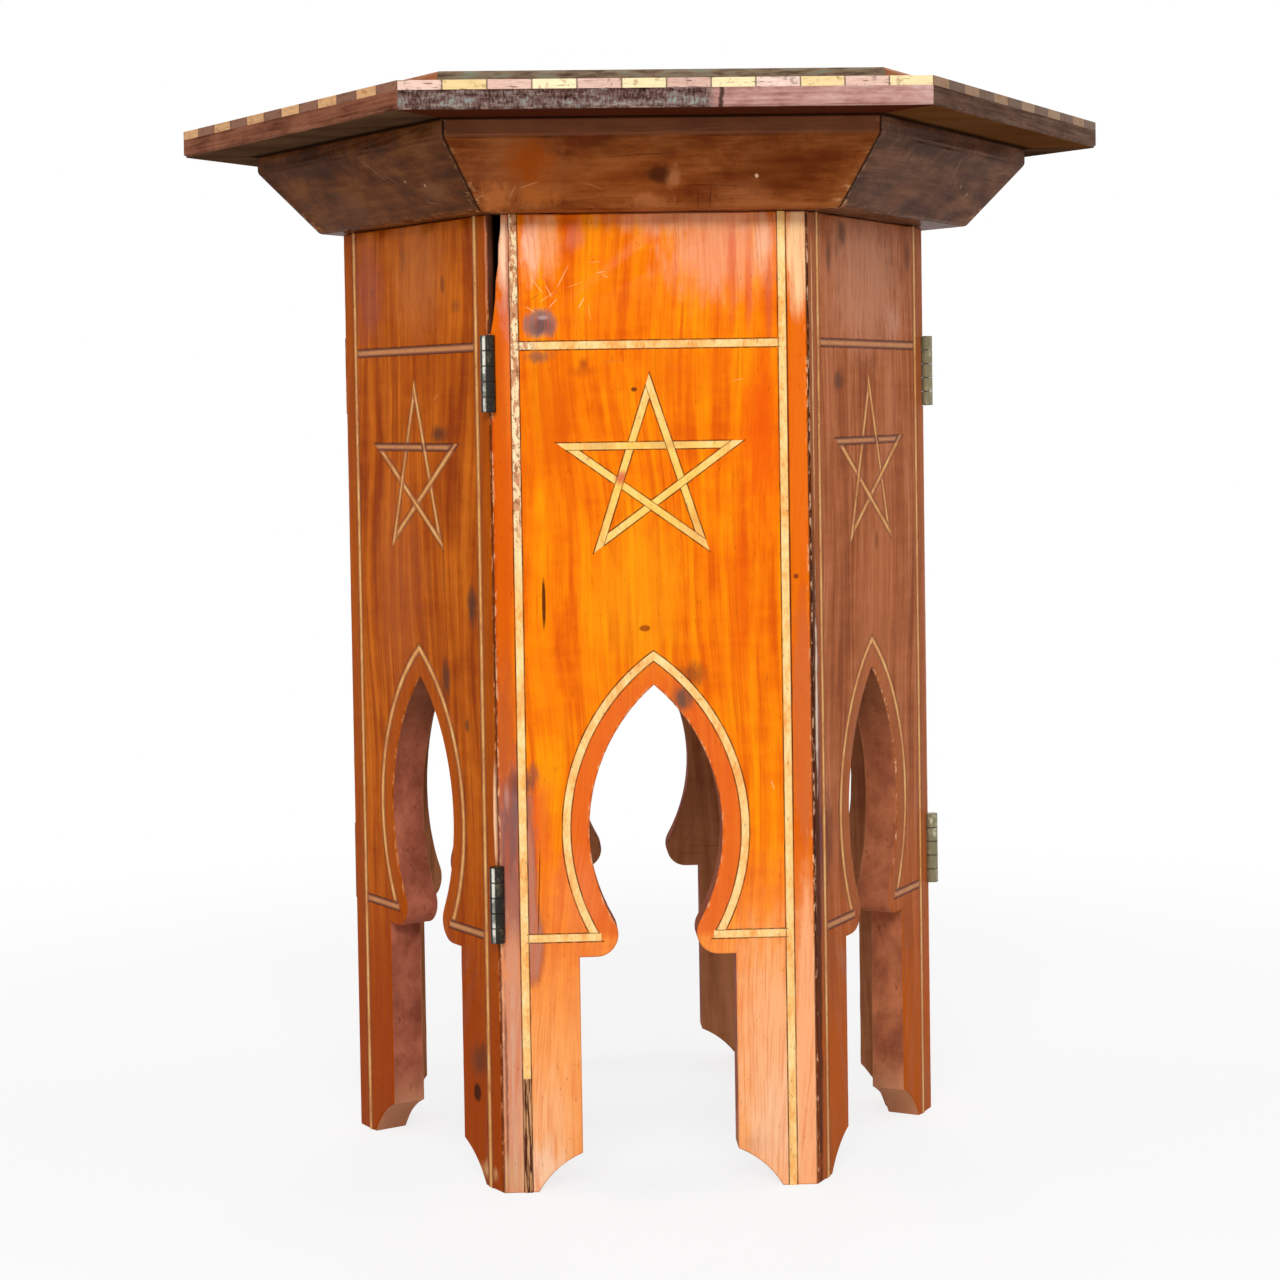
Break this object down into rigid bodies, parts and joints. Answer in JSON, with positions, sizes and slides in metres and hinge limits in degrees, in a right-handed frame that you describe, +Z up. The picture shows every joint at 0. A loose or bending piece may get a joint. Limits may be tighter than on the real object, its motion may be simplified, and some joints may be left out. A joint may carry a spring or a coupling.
{
  "type": "folding drinks table",
  "caption": "Hexagonal drinks table: a hinged, folding base of arched and inlaid panels carries a loose hexagonal top with a canted apron and chequer-banded edge.",
  "frame": {"origin": "on the floor under the centre of the top; the base stands 6 mm to the left of it", "axes": "+Z up, the front panel faces -Y, +X to the right of someone facing the front panel"},
  "size_m": [0.4972, 0.431, 0.5513],
  "materials": {
    "shellacked_wood": "worn glossy orange shellac over knotty softwood",
    "apron_wood": "dark glossy shellac",
    "edge_wood": "dull, weathered on the front edge",
    "field_wood": "dull worn shellac",
    "raw_wood": "sawn and unfinished",
    "light_inlay": "pale yellow stringing under old shellac",
    "dark_inlay": "pinkish brown blocks under old shellac",
    "aged_iron": "dark tarnish rubbed bright on the barrel",
    "aged_brass": "dull tarnish"
  },
  "bodies": {
    "base_rear": {"panel_rear": "shellacked_wood", "star_rear": "light_inlay", "stringing_rear": "light_inlay", "hinge_screws_rear": "aged_brass", "hinge_leaf_a_rear_left": "aged_iron", "hinge_pin_rear_left": "aged_brass", "hinge_leaf_b_rear_right": "aged_iron"},
    "base_right_rear": {"panel_right_rear": "shellacked_wood", "star_right_rear": "light_inlay", "stringing_right_rear": "light_inlay", "hinge_screws_right_rear": "aged_brass", "hinge_leaf_a_rear_right": "aged_iron", "hinge_pin_rear_right": "aged_brass", "hinge_leaf_b_right": "aged_iron"},
    "base_right_front": {"panel_right_front": "shellacked_wood", "star_right_front": "light_inlay", "stringing_right_front": "light_inlay", "hinge_screws_right_front": "aged_brass", "hinge_leaf_a_right": "aged_iron", "hinge_pin_right": "aged_brass", "hinge_leaf_b_front_right": "aged_iron"},
    "base_front": {"panel_front": "shellacked_wood", "star_front": "light_inlay", "stringing_front": "light_inlay", "hinge_screws_front": "aged_brass", "hinge_leaf_a_front_right": "aged_iron", "hinge_pin_front_right": "aged_brass", "hinge_leaf_b_front_left": "aged_iron"},
    "base_left_rear": {"panel_left_rear": "shellacked_wood", "star_left_rear": "light_inlay", "stringing_left_rear": "light_inlay", "hinge_screws_left_rear": "aged_brass", "hinge_leaf_a_left": "aged_iron", "hinge_pin_left": "aged_brass", "hinge_leaf_b_rear_left": "aged_iron"},
    "base_left_front": {"panel_left_front": "shellacked_wood", "star_left_front": "light_inlay", "stringing_left_front": "light_inlay", "hinge_screws_left_front": "aged_brass", "hinge_leaf_a_front_left": "aged_iron", "hinge_pin_front_left": "aged_brass", "hinge_leaf_b_left": "aged_iron"},
    "top": {"apron_front": "apron_wood", "apron_right_front": "apron_wood", "apron_right_rear": "apron_wood", "apron_rear": "apron_wood", "apron_left_rear": "apron_wood", "apron_left_front": "apron_wood", "apron_glue_blocks": "raw_wood", "top_board": "edge_wood", "chequer_light": "light_inlay", "chequer_dark": "dark_inlay", "top_field": "field_wood"}
  },
  "joints": [
    {"name": "fold_rear_right", "type": "hinge", "parent": "base_rear", "child": "base_right_rear", "pos_m": [0.06138, 0.11671, 0], "axis": [0, 0, -1], "range_deg": [0, 118]},
    {"name": "fold_right", "type": "hinge", "parent": "base_right_rear", "child": "base_right_front", "pos_m": [0.1533, 0, 0], "axis": [0, 0, 1], "range_deg": [0, 118]},
    {"name": "fold_front_right", "type": "hinge", "parent": "base_right_front", "child": "base_front", "pos_m": [0.06138, -0.11671, 0], "axis": [0, 0, -1], "range_deg": [0, 118]},
    {"name": "fold_rear_left", "type": "hinge", "parent": "base_rear", "child": "base_left_rear", "pos_m": [-0.08565, 0.13796, 0], "axis": [0, 0, -1], "range_deg": [0, 118]},
    {"name": "fold_left", "type": "hinge", "parent": "base_left_rear", "child": "base_left_front", "pos_m": [-0.14076, 0, 0], "axis": [0, 0, 1], "range_deg": [0, 118]},
    {"name": "top_lift", "type": "slide", "parent": "base_rear", "child": "top", "axis": [0, 0, 1], "range_m": [0, 0.025]}
  ],
  "couplings": [
    {"joint": "fold_right", "follows": "fold_rear_right", "ratio": 1},
    {"joint": "fold_front_right", "follows": "fold_rear_right", "ratio": 1},
    {"joint": "fold_rear_left", "follows": "fold_rear_right", "ratio": 1},
    {"joint": "fold_left", "follows": "fold_rear_right", "ratio": 1}
  ]
}
